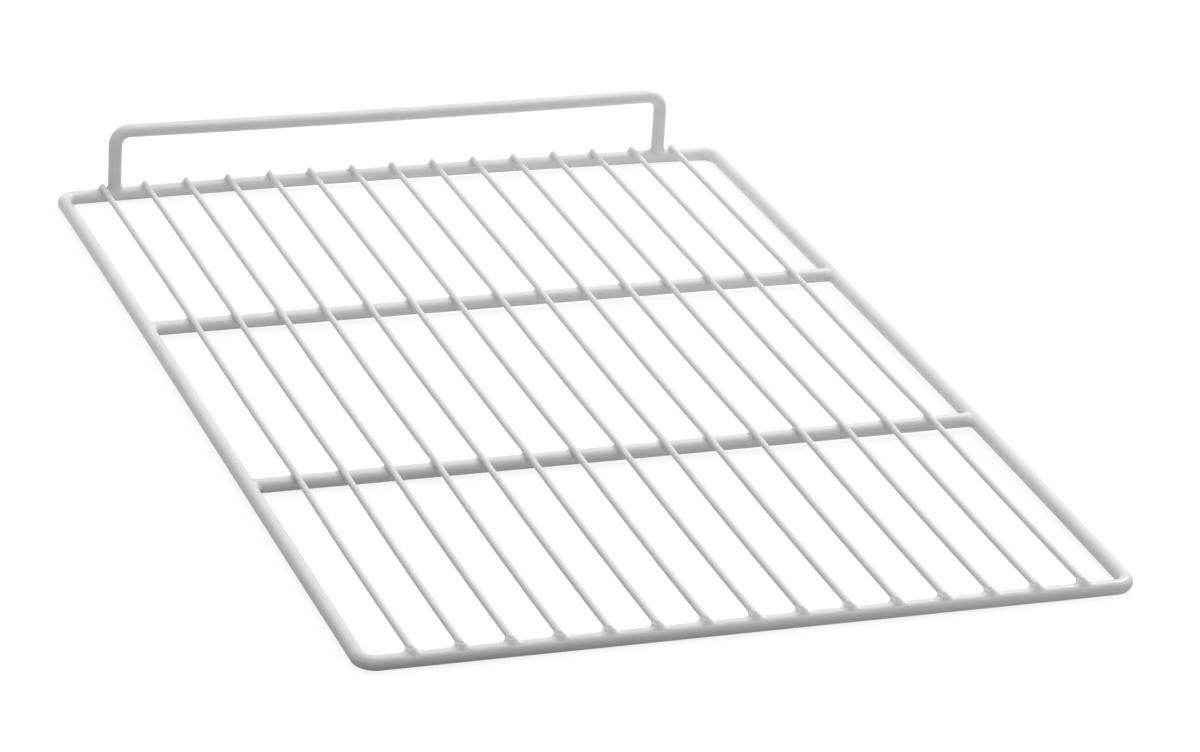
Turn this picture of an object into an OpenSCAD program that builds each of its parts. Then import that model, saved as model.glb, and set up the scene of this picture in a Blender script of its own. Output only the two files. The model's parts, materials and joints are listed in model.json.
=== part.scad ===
// Plastic-coated wire shelf for a refrigerator: a closed frame of heavy wire, two cross bars
// butt-welded inside it, a raised stop along its back, and thin deck wires lying on top.
// Millimetres. The origin is under the middle of the frame, +Y points to the back, +Z up.

/* [Frame] */
// Width over the frame's side rails
shelf_w = 400; // [300:1:600]
// Depth over the front and back rails
shelf_d = 600; // [450:1:700]
// Diameter of the heavy wire over its coating
rail_d = 7.6; // [6:0.1:10]
// Radius on the inside of the frame's corner bends
corner_inner_r = 1.8; // [1:0.1:15]

/* [Cross bars] */
// From the front rail's centre line to the front cross bar's
front_bar_in = 198; // [120:1:260]
// From the back rail's centre line to the rear cross bar's
rear_bar_in = 193; // [120:1:260]

/* [Back stop] */
// Height of the stop's top wire above the back rail, centre line to centre line
stop_rise = 38.6; // [25:0.1:80]
// From the left side rail's centre line to the stop's left leg
stop_left_in = 32.3; // [28:0.1:34]
// From the right side rail's centre line to the stop's right leg
stop_right_in = 36.5; // [33:0.1:39]
// Radius on the inside of the stop's two bends
stop_inner_r = 2; // [1:0.1:15]

/* [Deck wires] */
// Number of wires side by side
deck_count = 15; // [9:1:15]
// Diameter of a deck wire over its coating
deck_d = 3.4; // [2.5:0.1:4.5]
// Distance between neighbouring wires, centre to centre
deck_pitch = 24.5; // [18:0.1:25.5]
// How far the row of wires stands left of the frame's middle
deck_shift = 1.6; // [0:0.1:3]
// From a wire's front end back to the crest of the front rail, taken as positive behind it
deck_front_gap = 0.6; // [0:0.1:1.5]
// How far a wire's back end runs past the crest of the back rail
deck_back_over = 2; // [1:0.1:2.8]
// Rounding on the ends of the deck wires
deck_end_r = 1.1; // [0.4:0.1:1.2]

/* [Welds and coating] */
// How deep the weld lets a deck wire down into the wire under it
deck_sink = 0.4; // [0.2:0.05:0.6]
// How deep a butt-welded end sets into the wire it meets
butt_sink = 1; // [0.5:0.1:1.5]
// Radius of the coating that fills the wedge under a deck wire
wedge_r = 1.5; // [0.8:0.1:2]
// Radius of the coating skirt on either side of a deck wire
skirt_r = 1.2; // [0.6:0.1:2]
// Radius of the wider skirt where the front ends run out on the front rail
front_skirt_r = 2; // [1:0.1:2.6]
// Length of a skirt along its deck wire
skirt_len = 3; // [2:0.1:4]
// Radius of the weld bead at the ends of the cross bars and at the stop's feet
bead_r = 1.6; // [0.8:0.1:2.5]
// Thickness of that weld bead
bead_t = 3.6; // [2:0.1:5]

/* [Hidden] */
$fn = 48;
rail_r = rail_d / 2;
deck_r = deck_d / 2;
// Coating arcs reach this far into the wires, so that their faces cross at an angle
bite = 0.05;
// Extra length of a tool that cuts right through
past = 1;
side_x = shelf_w / 2 - rail_r;
front_y = -shelf_d / 2 + rail_r;
back_y = shelf_d / 2 - rail_r;
front_bar_y = front_y + front_bar_in;
rear_bar_y = back_y - rear_bar_in;
rail_z = rail_r;
crest_z = rail_d;
deck_z = crest_z + deck_r - deck_sink;
corner_r = corner_inner_r + rail_r;
stop_bend_r = stop_inner_r + rail_r;
stop_left_x = -side_x + stop_left_in;
stop_right_x = side_x - stop_right_in;
stop_top_z = rail_z + stop_rise;
stop_foot_z = crest_z - butt_sink;
deck_front_y = front_y + deck_front_gap;
deck_back_y = back_y + deck_back_over;
// The wedge of coating is a little thinner than the deck wire that it hangs from
wedge_t = 0.6 * deck_d;

function deck_x(i) = (i - (deck_count + 1) / 2) * deck_pitch - deck_shift;
function deck_name(i) = str("deck_wire_", i < 10 ? "0" : "", i);

// The coating's colour, a light neutral grey-white
module coated() {
    color([0.86, 0.86, 0.85]) children();
}

// Straight heavy wire along +Y from the origin
module rail_run(length) {
    rotate([90, 0, 180]) linear_extrude(length) circle(d = rail_d);
}

// Quarter bend that starts along +Y at the origin and turns left, towards -X
module rail_bend(r) {
    translate([-r, 0, 0]) rotate_extrude(angle = 90) translate([r, 0]) circle(d = rail_d);
}

// Heavy wire along X through a centre line at y and z, used to seat what is welded on it
module rail_tool(y, z, x, half_length) {
    translate([x - half_length, y, z]) rotate([0, 90, 0]) cylinder(d = rail_d, h = 2 * half_length);
}

module perimeter_frame() {
    side_run = back_y - front_y - 2 * corner_r;
    end_run = 2 * side_x - 2 * corner_r;
    coated() translate([0, 0, rail_z]) for (turn = [0, 180]) rotate([0, 0, turn]) {
        translate([side_x, -side_run / 2, 0]) rail_run(side_run);
        translate([side_x, side_run / 2, 0]) rail_bend(corner_r);
        translate([end_run / 2, back_y, 0]) rotate([0, 0, 90]) rail_run(end_run);
        translate([-end_run / 2, back_y, 0]) rotate([0, 0, 90]) rail_bend(corner_r);
    }
}

// Weld bead in the XY plane where a wire along -Y butts on a rail whose near side is at y = 0
module butt_bead_outline() {
    reach = rail_r + bead_r;
    difference() {
        translate([-reach, -bead_r]) square([2 * reach, bead_r + butt_sink]);
        for (side = [-1, 1])
            translate([side * reach, -bead_r]) circle(r = bead_r + bite);
    }
}

// Cross bar with its square-cut ends set into both side rails, at centre line y
module cross_bar(y) {
    half = side_x - rail_r + butt_sink;
    coated() translate([0, y, rail_z]) difference() {
        union() {
            translate([-half, 0, 0]) rotate([0, 90, 0]) cylinder(d = rail_d, h = 2 * half);
            for (turn = [90, 270])
                rotate([0, 0, turn]) translate([0, side_x - rail_r, -bead_t / 2])
                    linear_extrude(bead_t) butt_bead_outline();
        }
        for (side = [-1, 1])
            translate([side * side_x, -2 * rail_d, 0]) rotate([-90, 0, 0])
                cylinder(d = rail_d, h = 4 * rail_d);
    }
}

module rear_cross_bar() {
    cross_bar(rear_bar_y);
}

module front_cross_bar() {
    cross_bar(front_bar_y);
}

// One leg of the stop with the weld bead at its foot, from the rail up to the start of its bend
module stop_leg(x) {
    leg_h = stop_top_z - stop_bend_r - stop_foot_z;
    translate([x, back_y, 0]) {
        translate([0, 0, stop_foot_z]) rotate([90, 0, 0]) rail_run(leg_h);
        translate([0, bead_t / 2, crest_z]) rotate([-90, 0, 180])
            linear_extrude(bead_t) butt_bead_outline();
    }
}

module back_stop() {
    top_run = stop_right_x - stop_left_x - 2 * stop_bend_r;
    coated() difference() {
        union() {
            stop_leg(stop_left_x);
            stop_leg(stop_right_x);
            translate([stop_right_x, back_y, stop_top_z - stop_bend_r]) rotate([90, 0, 0])
                rail_bend(stop_bend_r);
            translate([stop_left_x + stop_bend_r, back_y, stop_top_z]) rotate([0, 0, -90])
                rail_run(top_run);
            translate([stop_left_x, back_y, stop_top_z - stop_bend_r]) rotate([90, 0, 180])
                rail_bend(stop_bend_r);
        }
        for (x = [stop_left_x, stop_right_x]) rail_tool(back_y, rail_z, x, 2 * rail_d);
    }
}

// Half outline of a deck wire with rounded ends, for a turn about Y
module deck_wire_outline(length) {
    difference() {
        square([deck_r, length]);
        for (end = [0, 1]) translate([0, end * length]) mirror([0, end]) difference() {
            translate([deck_r - deck_end_r, -past]) square([deck_end_r + past, deck_end_r + past]);
            translate([deck_r - deck_end_r, deck_end_r]) circle(r = deck_end_r);
        }
    }
}

// Coating in the wedge between a deck wire and the rail under it, on the sides named
// in ends (-1 front, 1 back), as an outline in the plane of wire and height
module wedge_outline(ends) {
    arc_z = deck_z - deck_r - wedge_r;
    arc_y = sqrt(pow(rail_r + wedge_r, 2) - pow(arc_z - rail_z, 2));
    for (side = ends) difference() {
        polygon([[0, rail_z], [side * arc_y, arc_z], [side * arc_y, deck_z], [0, deck_z]]);
        translate([side * arc_y, arc_z]) circle(r = wedge_r + bite);
    }
}

// Coating skirt across a deck wire of width along X, standing on the crest of the rail
module skirt_outline(r) {
    arc_z = crest_z + r;
    arc_x = sqrt(pow(deck_r + r, 2) - pow(deck_z - arc_z, 2));
    difference() {
        translate([-arc_x, crest_z - deck_r]) square([2 * arc_x, deck_z - crest_z + deck_r]);
        for (side = [-1, 1]) translate([side * arc_x, arc_z]) circle(r = r + bite);
    }
}

// Coating where a deck wire crosses the rail at y, with wedges on the sides named in ends
module crossing_coat(y, ends, r, shift) {
    translate([wedge_t / 2, y, 0]) rotate([90, 0, -90]) mirror([1, 0, 0])
        linear_extrude(wedge_t) wedge_outline(ends);
    translate([0, y + shift + skirt_len / 2, 0]) rotate([90, 0, 0])
        linear_extrude(skirt_len) skirt_outline(r);
}

// Deck wire number i from the left, seated on the front rail, both cross bars and the back rail
module deck_wire(i) {
    length = deck_back_y - deck_front_y;
    coated() translate([deck_x(i), 0, 0]) difference() {
        union() {
            translate([0, deck_front_y, deck_z]) rotate([-90, 0, 0]) rotate_extrude()
                deck_wire_outline(length);
            crossing_coat(front_y, [1], front_skirt_r, skirt_len / 2);
            crossing_coat(front_bar_y, [-1, 1], skirt_r, 0);
            crossing_coat(rear_bar_y, [-1, 1], skirt_r, 0);
            crossing_coat(back_y, [-1], skirt_r, 0);
        }
        for (y = [front_y, front_bar_y, rear_bar_y, back_y]) rail_tool(y, rail_z, 0, 2 * rail_d);
    }
}

perimeter_frame();
rear_cross_bar();
front_cross_bar();
back_stop();
for (i = [1:deck_count])
    deck_wire(i);
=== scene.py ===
import json
import math

import bpy
import numpy as np
from mathutils import Matrix, Vector

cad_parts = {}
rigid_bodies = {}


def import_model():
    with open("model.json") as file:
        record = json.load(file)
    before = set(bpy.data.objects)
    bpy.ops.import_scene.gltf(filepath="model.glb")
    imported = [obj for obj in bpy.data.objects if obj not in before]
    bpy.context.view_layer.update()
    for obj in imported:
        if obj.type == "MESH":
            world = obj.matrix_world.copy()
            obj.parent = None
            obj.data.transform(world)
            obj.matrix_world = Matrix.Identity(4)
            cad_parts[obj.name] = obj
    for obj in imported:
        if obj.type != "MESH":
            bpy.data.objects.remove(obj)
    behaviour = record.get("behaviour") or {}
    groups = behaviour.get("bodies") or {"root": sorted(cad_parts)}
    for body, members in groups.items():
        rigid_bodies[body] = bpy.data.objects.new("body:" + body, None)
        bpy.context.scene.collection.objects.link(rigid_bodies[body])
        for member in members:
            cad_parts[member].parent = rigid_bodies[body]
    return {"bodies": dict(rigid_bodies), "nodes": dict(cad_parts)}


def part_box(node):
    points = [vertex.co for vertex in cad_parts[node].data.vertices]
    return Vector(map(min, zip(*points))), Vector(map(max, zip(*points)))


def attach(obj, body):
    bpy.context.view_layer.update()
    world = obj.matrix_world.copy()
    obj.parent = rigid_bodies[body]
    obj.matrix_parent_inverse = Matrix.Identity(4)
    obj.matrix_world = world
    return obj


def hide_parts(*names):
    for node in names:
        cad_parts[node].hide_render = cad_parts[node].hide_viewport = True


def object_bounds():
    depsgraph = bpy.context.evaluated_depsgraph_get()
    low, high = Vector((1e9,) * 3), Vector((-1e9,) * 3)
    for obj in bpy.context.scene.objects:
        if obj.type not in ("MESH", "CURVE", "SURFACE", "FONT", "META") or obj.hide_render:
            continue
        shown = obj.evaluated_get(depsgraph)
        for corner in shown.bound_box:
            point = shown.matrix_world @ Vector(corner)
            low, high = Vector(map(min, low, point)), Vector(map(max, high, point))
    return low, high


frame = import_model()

cad_box = [list(corner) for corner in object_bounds()]

# All lengths are metres. Sizes come from the frame where it has them.
MM = 0.001
BODY = next(iter(frame["bodies"]))

# Camera, as worked out from the wires in the photograph
CAMERA_PLACE = Vector((-0.84292, -2.30816, 1.07479))
CAMERA_AZIMUTH = math.radians(20.574)
CAMERA_ELEVATION = math.radians(23.492)
CAMERA_ROLL = math.radians(3.666)
CAMERA_LENS = 152.644
CAMERA_SENSOR = 36.0


def make_camera():
    """The photograph's camera, looking down on the shelf from its front left."""
    data = bpy.data.cameras.new("camera")
    data.lens = CAMERA_LENS
    data.sensor_width = CAMERA_SENSOR
    data.clip_start = 0.05
    data.clip_end = 50
    ahead = Vector((
        math.sin(CAMERA_AZIMUTH) * math.cos(CAMERA_ELEVATION),
        math.cos(CAMERA_AZIMUTH) * math.cos(CAMERA_ELEVATION),
        -math.sin(CAMERA_ELEVATION),
    ))
    level = ahead.cross(Vector((0, 0, 1))).normalized()
    above = level.cross(ahead)
    right = level * math.cos(CAMERA_ROLL) + above * math.sin(CAMERA_ROLL)
    up = right.cross(ahead)
    turn = Matrix((right, up, -ahead)).transposed()
    camera = bpy.data.objects.new("camera", data)
    camera.matrix_world = Matrix.Translation(CAMERA_PLACE) @ turn.to_4x4()
    bpy.context.scene.collection.objects.link(camera)
    bpy.context.scene.camera = camera


make_camera()

# The wires' places, from the frame
rail_low, rail_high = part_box("perimeter_frame")
RAIL_R = (rail_high.z - rail_low.z) / 2
RAIL_Z = rail_low.z + RAIL_R
SIDE_X = rail_high.x - RAIL_R
FRONT_Y = rail_low.y + RAIL_R
BACK_Y = rail_high.y - RAIL_R
BAR_YS = [sum(corner.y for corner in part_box(name)) / 2 for name in ("front_cross_bar", "rear_cross_bar")]
SUPPORT_YS = np.array([FRONT_Y, *BAR_YS, BACK_Y])
stop_low, stop_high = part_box("back_stop")
STOP_TOP_Z = stop_high.z - RAIL_R
deck_names = sorted(name for name in frame["nodes"] if name.startswith("deck_wire_"))
deck_boxes = [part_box(name) for name in deck_names]
DECK_R = 1.7 * MM
DECK_Z = deck_boxes[0][1].z - DECK_R
DECK_START_Y = deck_boxes[0][0].y + DECK_R
DECK_END_Y = deck_boxes[0][1].y - DECK_R

# Bends, on the inside of the wire
CORNER_INNER_R = 4.5 * MM
STOP_INNER_R = 4.5 * MM

# How far the real, welded shelf strays from true, at its worst place each
CROWN = 1.56 * MM
CROWN_RIGHT = 0.51 * MM
CROWN_BACK = 0.11 * MM
CROWN_TWIST = -0.81 * MM
BACK_BOW = 1.70 * MM
HOLLOW = -0.96 * MM
DECK_SAGS = [1.08 * MM, 0.95 * MM, 0.13 * MM]
STOP_SAG = 0.8 * MM
DECK_DRIFT_LEFT = 0.7 * MM
DECK_DRIFT_RIGHT = 0.2 * MM
DECK_STRAY = 0.25 * MM
END_STRAY = 0.3 * MM

# The coating: how wide it bridges the crease between two wires, which is most where a deck wire
# lies on a crest, the web it hangs in the wedge under a deck wire, and how uneven it is
BRIDGE = 2.4 * MM
LEAST_BRIDGE = 0.7 * MM
BRIDGE_NEAR, BRIDGE_FAR = 1.0 * MM, 3.2 * MM
FRONT_BRIDGE = 4.6 * MM
BUTT_BRIDGE = 3.0 * MM
FLATTEST_CREASE = 0.05
WEB_ARC_R = 2.7 * MM
WEB_HALF = 0.8 * MM
WEB_EDGE = 0.6 * MM
UNEVEN = 0.012

random = np.random.default_rng(7)
deck_xs = np.array([(low.x + high.x) / 2 for low, high in deck_boxes])
deck_xs += np.linspace(DECK_DRIFT_LEFT, DECK_DRIFT_RIGHT, len(deck_xs))
deck_strays = random.uniform(-DECK_STRAY, DECK_STRAY, (len(deck_xs), len(SUPPORT_YS)))
deck_starts = DECK_START_Y + random.uniform(0, END_STRAY, len(deck_xs))
deck_ends = DECK_END_Y - random.uniform(0, END_STRAY, len(deck_xs))
leg_xs = [stop_low.x + RAIL_R, stop_high.x - RAIL_R]


def lift(x, y):
    """How far the shelf's plane has risen at a place, by its crown and bow."""
    u = np.clip(x / SIDE_X, -1, 1)
    v = np.clip(y / BACK_Y, -1, 1)
    along = 1 - v**2
    across = 1 - u**2
    crown = CROWN + CROWN_RIGHT * u + CROWN_BACK * v + CROWN_TWIST * u * v
    return along * (crown + HOLLOW * across) + across * BACK_BOW * (1 + v) / 2


def deck_sag(y):
    """How far a deck wire hangs between its supports."""
    sag = np.zeros_like(y)
    for start, end, depth in zip(SUPPORT_YS[:-1], SUPPORT_YS[1:], DECK_SAGS):
        across = (y - (start + end) / 2) / ((end - start) / 2)
        sag = np.where(np.abs(across) < 1, depth * (1 - across**2), sag)
    return sag


def deck_x(index, y):
    """A deck wire's place across the shelf, which strays a little from weld to weld."""
    bay = np.clip(np.searchsorted(SUPPORT_YS, y) - 1, 0, len(SUPPORT_YS) - 2)
    share = np.clip((y - SUPPORT_YS[bay]) / (SUPPORT_YS[bay + 1] - SUPPORT_YS[bay]), 0, 1)
    share = share * share * (3 - 2 * share)
    return deck_xs[index] + deck_strays[index, bay] * (1 - share) + deck_strays[index, bay + 1] * share


def deck_middle(index, y):
    """Points on the middle line of a deck wire."""
    x = deck_x(index, y)
    return np.stack([x, y, DECK_Z + lift(x, y) - deck_sag(y)], 1)


def skin(points, middle, radius, bridge):
    """Distance of points from a wire's skin, the direction away from it, and the width of the
    crease that the coating bridges there. middle holds the wire's nearest points."""
    away = points - middle
    distance = np.linalg.norm(away, axis=1)
    return distance - radius, away / distance[:, None], np.broadcast_to(bridge, distance.shape)


def blended(first, second, width, sign):
    """Two skins as one: where both count for sign 1, or where either does for sign -1, with
    their edge rounded over a width. A skin is a distance and a direction away from it."""
    share = np.clip(1 - np.abs(first[0] - second[0]) / width, 0, None)
    distance = sign * np.maximum(sign * first[0], sign * second[0]) + sign * share**2 * width / 4
    weight = np.clip(0.5 + sign * (first[0] - second[0]) / (2 * width), 0, 1)[:, None]
    away = first[1] * weight + second[1] * (1 - weight)
    return distance, away / np.linalg.norm(away, axis=1).clip(1e-6)[:, None]


def web_skin(points, index):
    """The web under a deck wire: a thin upright sheet with an arc for its lower edge, which runs
    from the wire's underside to the face of the wire below."""
    drop = DECK_Z - RAIL_Z
    arc_z = drop - DECK_R - WEB_ARC_R
    arc_y = math.sqrt((RAIL_R + WEB_ARC_R) ** 2 - arc_z**2)
    below = np.abs(points[:, 1:2] - SUPPORT_YS[None]).argmin(1)
    wire_x = deck_x(index, points[:, 1])
    across = points[:, 0] - wire_x
    along = points[:, 1] - SUPPORT_YS[below]
    height = points[:, 2] - RAIL_Z - lift(wire_x, SUPPORT_YS[below])
    side = np.where(along < 0, -1, 1)
    out = np.abs(along)
    flat = np.zeros_like(out)
    from_rail = np.hypot(out, height).clip(1e-6)
    from_arc = np.hypot(out - arc_y, height - arc_z).clip(1e-6)
    dive = (out * arc_z - height * arc_y) / (RAIL_R + WEB_ARC_R)
    at_arc = WEB_ARC_R - from_arc
    arc_away = np.stack([flat, side * (arc_y - out) / from_arc, (arc_z - height) / from_arc], 1)
    at_rail = from_rail - RAIL_R + dive
    rail_away = np.stack([flat, along / from_rail, height / from_rail], 1)
    under = (dive > 0)[:, None]
    edge = np.where(dive > 0, at_rail, at_arc), np.where(under, rail_away, arc_away)
    past = out > arc_y
    down = np.broadcast_to([0, 0, -1], points.shape)
    edge = np.where(past, drop - DECK_R - height, edge[0]), np.where(past[:, None], down, edge[1])
    sheet = np.abs(across) - WEB_HALF, np.stack([np.where(across < 0, -1, 1), flat, flat], 1)
    distance, away = blended(sheet, edge, WEB_EDGE, 1)
    ends = np.maximum(deck_starts[index] - points[:, 1], points[:, 1] - deck_ends[index])
    return np.maximum(distance, np.maximum(height - drop, ends)), away


def deck_skin(points):
    """The nearest deck wire's skin with its webs, bridged most on a crest and on the front rail."""
    pitch = (deck_xs[-1] - deck_xs[0]) / (len(deck_xs) - 1)
    index = np.clip(np.rint((points[:, 0] - deck_xs[0]) / pitch), 0, len(deck_xs) - 1).astype(int)
    y = np.clip(points[:, 1], deck_starts[index], deck_ends[index])
    from_crest = np.abs(y[:, None] - SUPPORT_YS[None]).min(1)
    share = np.clip((BRIDGE_FAR - from_crest) / (BRIDGE_FAR - BRIDGE_NEAR), 0, 1)
    bridge = LEAST_BRIDGE + (BRIDGE - LEAST_BRIDGE) * share * share * (3 - 2 * share)
    bridge = np.where(y < (FRONT_Y + BAR_YS[0]) / 2, FRONT_BRIDGE, bridge)
    distance, away, bridge = skin(points, deck_middle(index, y), DECK_R, bridge)
    distance, away = blended((distance, away), web_skin(points, index), WEB_EDGE, -1)
    return distance, away, bridge


def frame_skin(points):
    bend_r = CORNER_INNER_R + RAIL_R
    half = np.array([SIDE_X - bend_r, BACK_Y - bend_r])
    side = np.where(points[:, :2] < 0, -1, 1)
    beyond = points[:, :2] * side - half
    in_bend = (beyond > 0).all(1)
    round_bend = half + bend_r * beyond / np.linalg.norm(beyond, axis=1)[:, None]
    level = points[:, :2] * side
    at_side = np.stack([np.full(len(points), SIDE_X), level[:, 1]], 1)
    at_end = np.stack([level[:, 0], np.full(len(points), BACK_Y)], 1)
    straight = np.where((beyond[:, 0] > beyond[:, 1])[:, None], at_side, at_end)
    flat = np.where(in_bend[:, None], round_bend, straight) * side
    middle = np.column_stack([flat, RAIL_Z + lift(flat[:, 0], flat[:, 1])])
    return skin(points, middle, RAIL_R, BUTT_BRIDGE)


def bar_skin(points):
    bar_y = np.where(points[:, 1] < sum(BAR_YS) / 2, BAR_YS[0], BAR_YS[1])
    x = np.clip(points[:, 0], RAIL_R - SIDE_X, SIDE_X - RAIL_R)
    return skin(points, np.stack([x, bar_y, RAIL_Z + lift(x, bar_y)], 1), RAIL_R, BUTT_BRIDGE)


def leg_skin(points):
    x = np.where(points[:, 0] < sum(leg_xs) / 2, leg_xs[0], leg_xs[1])
    y = np.full_like(x, BACK_Y)
    z = np.clip(points[:, 2], RAIL_Z + lift(x, y) + RAIL_R, STOP_TOP_Z)
    return skin(points, np.stack([x, y, z], 1), RAIL_R, BUTT_BRIDGE)


def closest(*wires):
    """The skin of whichever wire is nearest to each point."""
    def nearest_skin(points):
        found = [wire(points) for wire in wires]
        first = np.argmin([each[0] for each in found], axis=0)
        rows = np.arange(len(points))
        return tuple(np.stack([each[part] for each in found])[first, rows] for part in range(3))
    return nearest_skin


def bridged(own, away, own_bridge, other):
    """How far the coating stands over the nearer of two skins in the crease between them. It
    fills a sharp crease to its full width, and hardly anything where the skins run alike."""
    distance, other_away, other_bridge = other
    crease = np.clip(1 - (away * other_away).sum(1), FLATTEST_CREASE, 1)
    width = np.where(own_bridge == BUTT_BRIDGE, other_bridge, own_bridge) * crease
    share = np.clip(1 - np.abs(own - distance) / width, 0, None)
    return share**2 * width / 4


def coated_reach(origins, directions, radii, radius, own, neighbours, most):
    """How far the coating's skin stands from a wire's middle along each direction, where it
    stands at most that much over the wire's radius."""
    at_skin = neighbours(origins + directions * radii[:, None])
    near = np.nonzero(np.abs(at_skin[0]) < 1.5 * FRONT_BRIDGE)[0]
    start = radii[near]

    def outside(reach):
        points = origins[near] + directions[near] * reach[:, None]
        distance, away, bridge = own(points)
        distance = distance + radius - start
        return distance > bridged(distance, away, bridge, neighbours(points))

    low = start.copy()
    high = start + most
    for over in np.arange(SCAN_STEP, most, SCAN_STEP):
        reached = (high == start + most) & outside(start + over)
        high = np.where(reached, start + over, high)
        low = np.where(high == start + most, start + over, low)
    for _ in range(12):
        middle = (low + high) / 2
        out = outside(middle)
        high = np.where(out, middle, high)
        low = np.where(out, low, middle)
    reach = radii.copy()
    reach[near] = (low + high) / 2
    return reach, near


def coated_normals(points, own, neighbours):
    """Directions square to the coating's skin, so that it runs on smoothly from one wire's
    piece to the next."""
    step = 0.02 * MM

    def coated(at):
        distance, away, bridge = own(at)
        other = neighbours(at)
        return np.minimum(distance, other[0]) - bridged(distance, away, bridge, other)

    slopes = [coated(points + step * axis) - coated(points - step * axis) for axis in np.eye(3)]
    normals = np.stack(slopes, 1)
    return normals / np.linalg.norm(normals, axis=1)[:, None]


def uneven(stations, angles, phase):
    """Slight thin places of the coating, with a wire's nominal size as the most."""
    wave = (
        np.sin(stations / (7.3 * MM) + phase[0])
        + np.sin(stations / (17 * MM) + phase[1] + angles)
        + np.sin(stations / (31 * MM) + phase[2] - 2 * angles)
    )
    return 1 - UNEVEN * (wave + 3) / 6


def stations_along(length, joints):
    """Places along a straight wire: a wide row, and a close one round each joint."""
    wide, close, reach = 9 * MM, 0.45 * MM, 7.5 * MM
    places = list(np.linspace(0, length, max(2, int(length / wide) + 1)))
    for joint in joints:
        places += list(np.arange(joint - reach, joint + reach, close))
    places = np.array(sorted(place for place in places if 0 <= place <= length))
    spaced = [0.0]
    for place in places:
        if place - spaced[-1] > close * 0.6:
            spaced.append(place)
    spaced[-1] = length
    return np.array(spaced)


BEND_STEPS = 14


def trace(start, way, steps, closed=False):
    """Points, directions and lengths travelled along a flat path. A step is either
    ("run", length, joints) or ("bend", radius, side), where side is 1 for a quarter turn to
    the left and -1 for one to the right."""
    place, way = np.array(start, float), np.array(way, float)
    points, ways, stations = [], [], []
    travelled = 0
    for kind, size, detail in steps:
        if kind == "run":
            along = stations_along(size, detail)[:-1]
            points += [place + way * each for each in along]
            ways += [way] * len(along)
            stations += [travelled + each for each in along]
            place = place + way * size
            travelled += size
            continue
        inward = np.array([-way[1], way[0]]) * detail
        hub = place + inward * size
        for turned in np.linspace(0, math.pi / 2, BEND_STEPS, endpoint=False):
            points.append(hub - inward * size * math.cos(turned) + way * size * math.sin(turned))
            ways.append(way * math.cos(turned) + inward * math.sin(turned))
            stations.append(travelled + turned * size)
        place = hub + way * size
        way = inward
        travelled += size * math.pi / 2
    if not closed:
        points.append(place)
        ways.append(way)
        stations.append(travelled)
    return np.array(points), np.array(ways), np.array(stations)


def mesh_piece(name, rings, normals, closed):
    """A piece from rings of points. An open row of rings is closed by a point at each end."""
    rows, count = rings.shape[:2]
    vertices = rings.reshape(-1, 3)
    faces = []
    for row in range(rows if closed else rows - 1):
        a = row * count
        b = ((row + 1) % rows) * count
        for k in range(count):
            n = (k + 1) % count
            faces.append((a + k, a + n, b + n, b + k))
    if not closed:
        first, last = rows * count, rows * count + 1
        vertices = np.concatenate([vertices, [rings[0].mean(0), rings[-1].mean(0)]])
        normals = np.concatenate([normals, np.zeros((2, 3))])
        for k in range(count):
            n = (k + 1) % count
            faces.append((first, n, k))
            faces.append((last, (rows - 1) * count + k, (rows - 1) * count + n))
    mesh = bpy.data.meshes.new(name)
    mesh.from_pydata(vertices.tolist(), [], faces)
    mesh.polygons.foreach_set("use_smooth", [True] * len(mesh.polygons))
    mesh.normals_split_custom_set_from_vertices(normals.tolist())
    mesh.update()
    piece = bpy.data.objects.new(name, mesh)
    bpy.context.scene.collection.objects.link(piece)
    return piece


DOME_LEANS = np.radians([80, 70, 60, 50, 40, 30, 20, 10])
SCAN_STEP = 0.4 * MM
MOST_ON_RAIL = FRONT_BRIDGE / 4
MOST_ON_DECK = 3.4 * MM


def sweep(name, centres, sides, ups, stations, radius, segments, own, neighbours, most, ends=None):
    """A coated wire along a row of centres, where sides x ups is the way it runs. ends holds the
    outward directions at the first and last centre of an open wire, which are rounded."""
    angles = np.arange(segments) * 2 * math.pi / segments
    phase = random.uniform(0, 2 * math.pi, 3)
    directions = (
        np.cos(angles)[None, :, None] * sides[:, None, :]
        + np.sin(angles)[None, :, None] * ups[:, None, :]
    )
    origins = np.repeat(centres[:, None, :], segments, 1)
    radii = radius * uneven(stations[:, None], angles[None, :], phase)
    if ends is not None:
        extra = len(DOME_LEANS)
        first = [directions[0] * math.cos(a) + ends[0] * math.sin(a) for a in DOME_LEANS]
        last = [directions[-1] * math.cos(a) + ends[1] * math.sin(a) for a in DOME_LEANS[::-1]]
        directions = np.concatenate([first, directions, last])
        origins = np.concatenate([
            np.repeat(origins[:1], extra, 0), origins, np.repeat(origins[-1:], extra, 0),
        ])
        radii = np.concatenate([
            np.repeat(radii[:1], extra, 0), radii, np.repeat(radii[-1:], extra, 0),
        ])
    o, d, r = origins.reshape(-1, 3), directions.reshape(-1, 3), radii.reshape(-1)
    reach, near = coated_reach(o, d, r, radius, own, neighbours, most)
    points = o + d * reach[:, None]
    normals = np.zeros_like(points)
    normals[near] = coated_normals(points[near], own, neighbours)
    return mesh_piece(name, points.reshape(*radii.shape, 3), normals, ends is None)


UP = np.array([0.0, 0.0, 1.0])
RAIL_SEGMENTS = 64
DECK_SEGMENTS = 48


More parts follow.
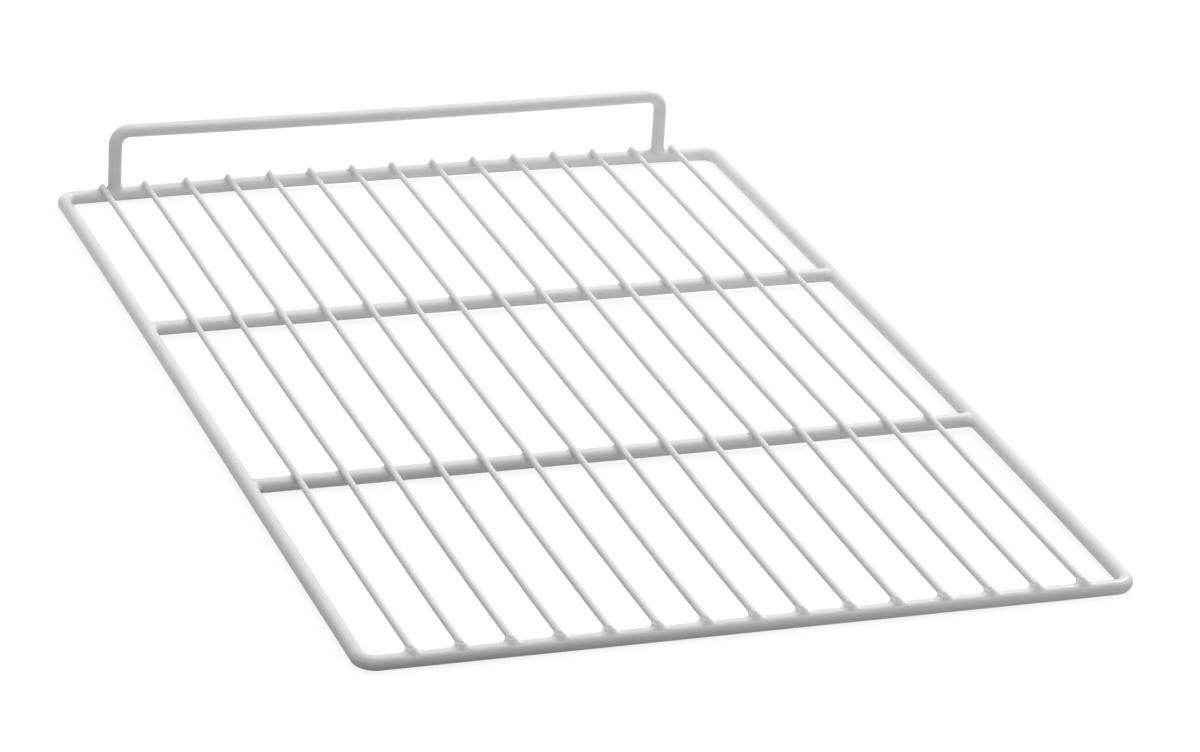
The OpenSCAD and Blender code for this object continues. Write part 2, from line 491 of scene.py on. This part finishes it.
def make_frame():
    """The perimeter frame: one heavy wire bent round four corners."""
    bend_r = CORNER_INNER_R + RAIL_R
    half_x, half_y = SIDE_X - bend_r, BACK_Y - bend_r
    feet = list(deck_xs) + leg_xs
    corner = ("bend", bend_r, 1)
    points, ways, stations = trace((-half_x, -BACK_Y), (1, 0), [
        ("run", 2 * half_x, [x + half_x for x in deck_xs]), corner,
        ("run", 2 * half_y, [y + half_y for y in BAR_YS]), corner,
        ("run", 2 * half_x, [half_x - x for x in feet]), corner,
        ("run", 2 * half_y, [half_y - y for y in BAR_YS]), corner,
    ], closed=True)
    centres = np.column_stack([points, RAIL_Z + lift(points[:, 0], points[:, 1])])
    sides = np.column_stack([-ways[:, 1], ways[:, 0], np.zeros(len(ways))])
    ups = np.repeat(UP[None], len(ways), 0)
    neighbours = closest(deck_skin, bar_skin, leg_skin)
    return sweep("coated_frame", centres, sides, ups, stations, RAIL_R, RAIL_SEGMENTS,
                 frame_skin, neighbours, MOST_ON_RAIL)


def make_bar(name, bar_y):
    """A cross bar, with its ends run into the side rails."""
    half = SIDE_X - RAIL_R
    joints = [x + half for x in deck_xs] + [0, 2 * half]
    points, ways, stations = trace((-half, bar_y), (1, 0), [("run", 2 * half, joints)])
    centres = np.column_stack([points, RAIL_Z + lift(points[:, 0], points[:, 1])])
    sides = np.column_stack([-ways[:, 1], ways[:, 0], np.zeros(len(ways))])
    ups = np.repeat(UP[None], len(ways), 0)
    ends = (np.array([-1.0, 0, 0]), np.array([1.0, 0, 0]))
    return sweep(name, centres, sides, ups, stations, RAIL_R, RAIL_SEGMENTS,
                 bar_skin, closest(deck_skin, frame_skin), MOST_ON_RAIL, ends)


def make_stop():
    """The back stop: a wide U of heavy wire, sagging a little in its middle."""
    bend_r = STOP_INNER_R + RAIL_R
    foot_z = RAIL_Z + RAIL_R + float(lift(np.array(leg_xs[0]), np.array(BACK_Y)))
    leg = STOP_TOP_Z - bend_r - foot_z
    span = leg_xs[1] - leg_xs[0]
    points, ways, stations = trace((leg_xs[0], foot_z), (0, 1), [
        ("run", leg, [0]), ("bend", bend_r, -1),
        ("run", span - 2 * bend_r, []), ("bend", bend_r, -1),
        ("run", leg, [leg]),
    ])
    across = (points[:, 0] - sum(leg_xs) / 2) / (span / 2)
    height = np.clip((points[:, 1] - foot_z) / (STOP_TOP_Z - foot_z), 0, 1)
    z = points[:, 1] - height * STOP_SAG * (1 - np.clip(across, -1, 1) ** 2)
    centres = np.column_stack([points[:, 0], np.full(len(points), BACK_Y), z])
    sides = np.column_stack([ways[:, 1], np.zeros(len(ways)), -ways[:, 0]])
    ups = np.repeat([[0.0, 1.0, 0.0]], len(ways), 0)
    return sweep("coated_stop", centres, sides, ups, stations, RAIL_R, RAIL_SEGMENTS,
                 leg_skin, closest(frame_skin, deck_skin), MOST_ON_RAIL, (-UP, -UP))


def make_deck_wire(index):
    """A deck wire with rounded ends, seated in the coating of the four wires under it."""
    start, end = deck_starts[index], deck_ends[index]
    joints = SUPPORT_YS - start
    points, ways, stations = trace((0, start), (0, 1), [("run", end - start, joints)])
    centres = deck_middle(np.full(len(points), index), points[:, 1])
    sides = np.column_stack([-ways[:, 1], ways[:, 0], np.zeros(len(ways))])
    ups = np.repeat(UP[None], len(ways), 0)
    ends = (np.array([0, -1.0, 0]), np.array([0, 1.0, 0]))
    return sweep(f"coated_{deck_names[index]}", centres, sides, ups, stations, DECK_R, DECK_SEGMENTS,
                 deck_skin, closest(frame_skin, bar_skin), MOST_ON_DECK, ends)


def coating_material():
    """Dipped plastic coating: off-white, satin, faintly uneven in tone, gloss and surface."""
    material = bpy.data.materials.new("white_coating")
    material.use_nodes = True
    nodes = material.node_tree.nodes
    links = material.node_tree.links
    shader = nodes["Principled BSDF"]
    shader.inputs["IOR"].default_value = 1.5
    shader.inputs["Specular IOR Level"].default_value = 0.4
    place = nodes.new("ShaderNodeTexCoord")

    tone = nodes.new("ShaderNodeTexNoise")
    tone.inputs["Scale"].default_value = 45
    tone.inputs["Detail"].default_value = 3
    links.new(place.outputs["Object"], tone.inputs["Vector"])
    ramp = nodes.new("ShaderNodeValToRGB")
    ramp.color_ramp.elements[0].position = 0.3
    ramp.color_ramp.elements[0].color = (0.76, 0.76, 0.755, 1)
    ramp.color_ramp.elements[1].position = 0.7
    ramp.color_ramp.elements[1].color = (0.81, 0.81, 0.805, 1)
    links.new(tone.outputs["Fac"], ramp.inputs["Fac"])
    links.new(ramp.outputs["Color"], shader.inputs["Base Color"])

    gloss = nodes.new("ShaderNodeTexNoise")
    gloss.inputs["Scale"].default_value = 160
    gloss.inputs["Detail"].default_value = 2
    links.new(place.outputs["Object"], gloss.inputs["Vector"])
    spread = nodes.new("ShaderNodeMapRange")
    spread.inputs["To Min"].default_value = 0.30
    spread.inputs["To Max"].default_value = 0.44
    links.new(gloss.outputs["Fac"], spread.inputs["Value"])
    links.new(spread.outputs["Result"], shader.inputs["Roughness"])

    peel = nodes.new("ShaderNodeTexNoise")
    peel.inputs["Scale"].default_value = 420
    peel.inputs["Detail"].default_value = 2
    links.new(place.outputs["Object"], peel.inputs["Vector"])
    bump = nodes.new("ShaderNodeBump")
    bump.inputs["Strength"].default_value = 0.25
    bump.inputs["Distance"].default_value = 0.0001
    links.new(peel.outputs["Fac"], bump.inputs["Height"])
    links.new(bump.outputs["Normal"], shader.inputs["Normal"])
    return material


def dress(piece, node, material):
    piece.data.materials.append(material)
    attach(piece, BODY)
    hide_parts(node)


coating = coating_material()
dress(make_frame(), "perimeter_frame", coating)
dress(make_bar("coated_front_bar", BAR_YS[0]), "front_cross_bar", coating)
dress(make_bar("coated_rear_bar", BAR_YS[1]), "rear_cross_bar", coating)
dress(make_stop(), "back_stop", coating)
for index, name in enumerate(deck_names):
    dress(make_deck_wire(index), name, coating)


# Floor, world and lamps
FLOOR_SIZE = 6.0
FLOOR_GLOW = 0.86
FLOOR_SHADE = 0.2
FLOOR_BOUNCE = 0.60
FLOOR_BOUNCE_SLOPE = (0.68, 0.78, 0)
DARKEST_BOUNCE = 0.05
PALEST_BOUNCE = 0.95


def seen_rays(nodes, links):
    """1 for rays from the camera, and for those that gloss or glass send on."""
    path = nodes.new("ShaderNodeLightPath")
    total = path.outputs["Is Camera Ray"]
    for name in ("Is Glossy Ray", "Is Transmission Ray"):
        either = nodes.new("ShaderNodeMath")
        either.operation = "MAXIMUM"
        links.new(total, either.inputs[0])
        links.new(path.outputs[name], either.inputs[1])
        total = either.outputs[0]
    return total


def bounce_colour(nodes, links):
    """How much light the floor throws back up: more and more towards the back right."""
    place = nodes.new("ShaderNodeTexCoord")
    slope = nodes.new("ShaderNodeVectorMath")
    slope.operation = "DOT_PRODUCT"
    slope.inputs[1].default_value = FLOOR_BOUNCE_SLOPE
    links.new(place.outputs["Object"], slope.inputs[0])
    level = nodes.new("ShaderNodeMath")
    level.operation = "ADD"
    level.inputs[1].default_value = FLOOR_BOUNCE
    links.new(slope.outputs["Value"], level.inputs[0])
    kept = nodes.new("ShaderNodeClamp")
    kept.inputs["Min"].default_value = DARKEST_BOUNCE
    kept.inputs["Max"].default_value = PALEST_BOUNCE
    links.new(level.outputs["Value"], kept.inputs["Value"])
    return kept.outputs["Result"]


def make_floor():
    """A plain white floor that keeps a light shadow."""
    half = FLOOR_SIZE / 2
    mesh = bpy.data.meshes.new("floor")
    corners = [(-half, -half, 0), (half, -half, 0), (half, half, 0), (-half, half, 0)]
    mesh.from_pydata(corners, [], [(0, 1, 2, 3)])
    floor = bpy.data.objects.new("floor", mesh)
    floor.location.z = cad_box[0][2] - 0.2 * MM
    bpy.context.scene.collection.objects.link(floor)
    material = bpy.data.materials.new("floor")
    material.use_nodes = True
    nodes = material.node_tree.nodes
    links = material.node_tree.links
    nodes.clear()
    shaded = nodes.new("ShaderNodeBsdfDiffuse")
    shaded.inputs["Color"].default_value = (FLOOR_SHADE, FLOOR_SHADE, FLOOR_SHADE, 1)
    glow = nodes.new("ShaderNodeEmission")
    glow.inputs["Strength"].default_value = FLOOR_GLOW
    seen = nodes.new("ShaderNodeAddShader")
    links.new(glow.outputs[0], seen.inputs[0])
    links.new(shaded.outputs[0], seen.inputs[1])
    bounce = nodes.new("ShaderNodeBsdfDiffuse")
    links.new(bounce_colour(nodes, links), bounce.inputs["Color"])
    choice = nodes.new("ShaderNodeMixShader")
    links.new(seen_rays(nodes, links), choice.inputs["Fac"])
    links.new(bounce.outputs[0], choice.inputs[1])
    links.new(seen.outputs[0], choice.inputs[2])
    output = nodes.new("ShaderNodeOutputMaterial")
    links.new(choice.outputs[0], output.inputs["Surface"])
    floor.data.materials.append(material)


WORLD_LIGHT = 0.34


def make_world():
    """White where the camera looks past the floor, and a plain soft light all round."""
    world = bpy.data.worlds.new("world")
    bpy.context.scene.world = world
    world.use_nodes = True
    nodes = world.node_tree.nodes
    links = world.node_tree.links
    nodes.clear()
    light = nodes.new("ShaderNodeBackground")
    light.inputs["Color"].default_value = (1, 1, 1, 1)
    light.inputs["Strength"].default_value = WORLD_LIGHT
    white = nodes.new("ShaderNodeBackground")
    white.inputs["Color"].default_value = (1, 1, 1, 1)
    white.inputs["Strength"].default_value = 1.0
    mix = nodes.new("ShaderNodeMixShader")
    links.new(seen_rays(nodes, links), mix.inputs["Fac"])
    links.new(light.outputs[0], mix.inputs[1])
    links.new(white.outputs[0], mix.inputs[2])
    output = nodes.new("ShaderNodeOutputWorld")
    links.new(mix.outputs[0], output.inputs["Surface"])


def make_lamp(name, place, size, power):
    """A square soft lamp that looks at the shelf's middle."""
    data = bpy.data.lights.new(name, "AREA")
    data.shape = "SQUARE"
    data.size = size
    data.energy = power
    lamp = bpy.data.objects.new(name, data)
    lamp.location = place
    lamp.rotation_euler = (-Vector(place)).to_track_quat("-Z", "Y").to_euler()
    bpy.context.scene.collection.objects.link(lamp)


make_floor()
make_world()
make_lamp("key", (1.6, 1.2, 2.0), 0.6, 31)
make_lamp("overhead", (0, 0, 2.6), 2.2, 28)

bpy.context.scene.view_settings.view_transform = "Standard"
